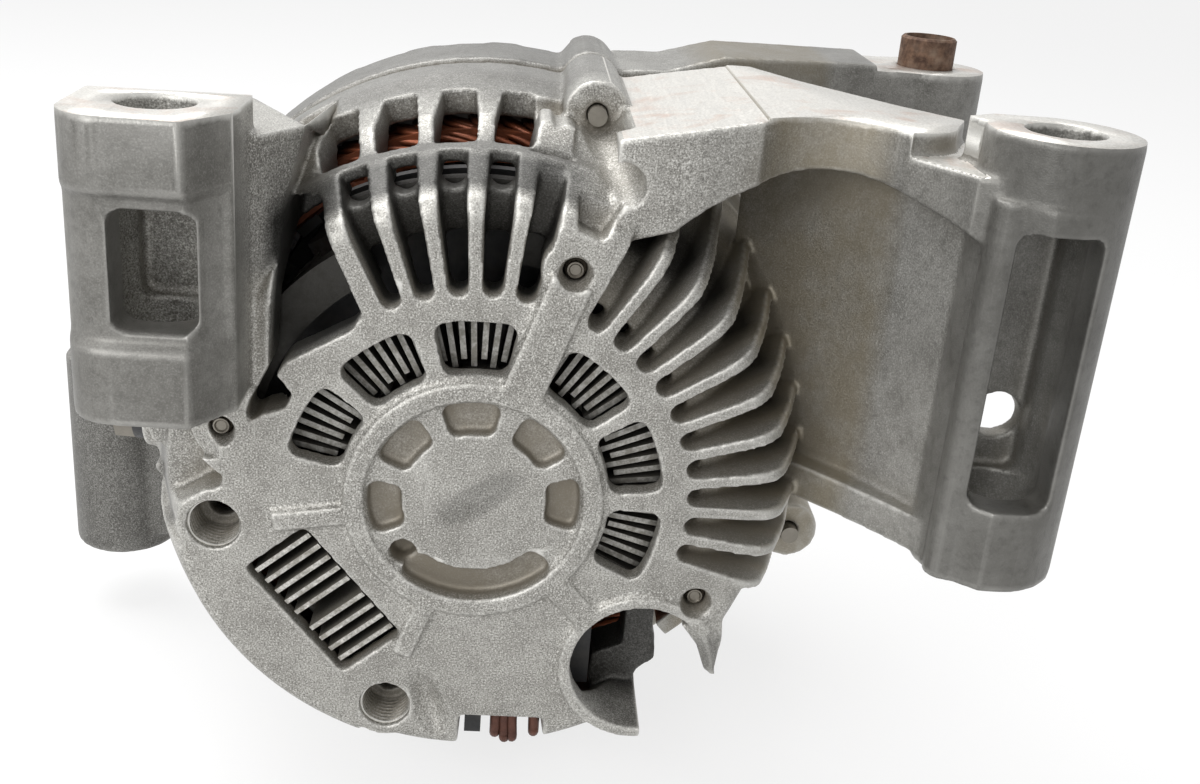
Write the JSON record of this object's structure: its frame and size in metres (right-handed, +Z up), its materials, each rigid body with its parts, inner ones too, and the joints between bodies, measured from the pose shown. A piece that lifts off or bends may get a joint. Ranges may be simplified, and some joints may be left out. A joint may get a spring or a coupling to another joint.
{
  "type": "automotive alternator",
  "caption": "Belt-driven car alternator with a finned rear bracket, upright bolt bosses, ribbed pulley and a turning claw-pole rotor.",
  "frame": {"origin": "where the shaft axis meets the flat pad in the middle of the rear face", "axes": "-Y out of the rear face along the shaft, +Y towards the pulley, +X right seen from behind, +Z up along the mounting bolts"},
  "size_m": [0.2025, 0.168, 0.1447],
  "materials": {
    "cast_aluminium": "as cast, weathered",
    "machined_steel": "turned",
    "zinc_plated_steel": "plated",
    "bearing_steel": "ground",
    "laminated_steel": "lacquered sheet",
    "forged_iron": "dark forged",
    "enamelled_copper": "enamelled wire",
    "copper": "bare",
    "extruded_aluminium": "dull",
    "black_plastic": "moulded",
    "carbon": "pressed carbon",
    "rusty_steel": "rusted",
    "spring_steel": "drawn wire"
  },
  "bodies": {
    "housing": {"rear_bracket": "cast_aluminium", "front_bracket": "cast_aluminium", "through_bolts": "zinc_plated_steel", "stator_core": "laminated_steel", "stator_winding": "enamelled_copper", "stator_leads": "enamelled_copper", "rear_bearing_outer_ring": "bearing_steel", "rear_bearing_seal": "black_plastic", "tolerance_ring": "black_plastic", "front_bearing_outer_ring": "bearing_steel", "front_bearing_seal": "black_plastic", "retainer_plate": "zinc_plated_steel", "retainer_screws": "zinc_plated_steel", "brush_holder": "black_plastic", "upper_brush_spring": "spring_steel", "lower_brush_spring": "spring_steel", "regulator_body": "black_plastic", "regulator_heat_sink": "extruded_aluminium", "rectifier_heat_sink": "extruded_aluminium", "rectifier_negative_plate": "extruded_aluminium", "rectifier_diodes": "zinc_plated_steel", "rectifier_terminal_board": "black_plastic", "rectifier_screws": "zinc_plated_steel", "output_stud": "zinc_plated_steel", "stud_insulator": "black_plastic", "stud_nut": "zinc_plated_steel", "output_bar": "copper", "connector_pins": "copper"},
    "rotor": {"rotor_shaft": "machined_steel", "rear_claw_pole": "forged_iron", "front_claw_pole": "forged_iron", "coil_bobbin": "black_plastic", "field_coil": "enamelled_copper", "rear_fan": "zinc_plated_steel", "front_fan": "zinc_plated_steel", "slip_ring_carrier": "black_plastic", "slip_rings": "copper", "rear_bearing_inner_ring": "bearing_steel", "front_bearing_inner_ring": "bearing_steel", "inner_collar": "machined_steel", "outer_collar": "machined_steel", "pulley": "machined_steel", "pulley_nut": "zinc_plated_steel"},
    "rear_ball_cage": {"rear_bearing_balls": "bearing_steel"},
    "front_ball_cage": {"front_bearing_balls": "bearing_steel"},
    "upper_brush": {"upper_brush": "carbon"},
    "lower_brush": {"lower_brush": "carbon"},
    "slide_bush": {"slide_bush": "rusty_steel"}
  },
  "joints": [
    {"name": "rotor_spin", "type": "hinge", "parent": "housing", "child": "rotor", "pos_m": [0, 0.064, 0], "axis": [0, 1, 0], "continuous": true},
    {"name": "rear_cage_spin", "type": "hinge", "parent": "housing", "child": "rear_ball_cage", "pos_m": [0, 0.013, 0], "axis": [0, 1, 0], "continuous": true},
    {"name": "front_cage_spin", "type": "hinge", "parent": "housing", "child": "front_ball_cage", "pos_m": [0, 0.104, 0], "axis": [0, 1, 0], "continuous": true},
    {"name": "upper_brush_slide", "type": "slide", "parent": "housing", "child": "upper_brush", "axis": [-0.7683, 0, -0.6401], "range_m": [0, 0.003], "stiffness_N_per_m": 250, "springref_m": -0.006, "deforming": ["upper_brush_spring"]},
    {"name": "lower_brush_slide", "type": "slide", "parent": "housing", "child": "lower_brush", "axis": [-0.7683, 0, -0.6401], "range_m": [0, 0.003], "stiffness_N_per_m": 250, "springref_m": -0.006, "deforming": ["lower_brush_spring"]},
    {"name": "bush_slide", "type": "slide", "parent": "housing", "child": "slide_bush", "axis": [0, 0, 1], "range_m": [-0.005, 0.002]}
  ],
  "couplings": [
    {"joint": "rear_cage_spin", "follows": "rotor_spin", "ratio": 0.3923},
    {"joint": "front_cage_spin", "follows": "rotor_spin", "ratio": 0.3737}
  ]
}
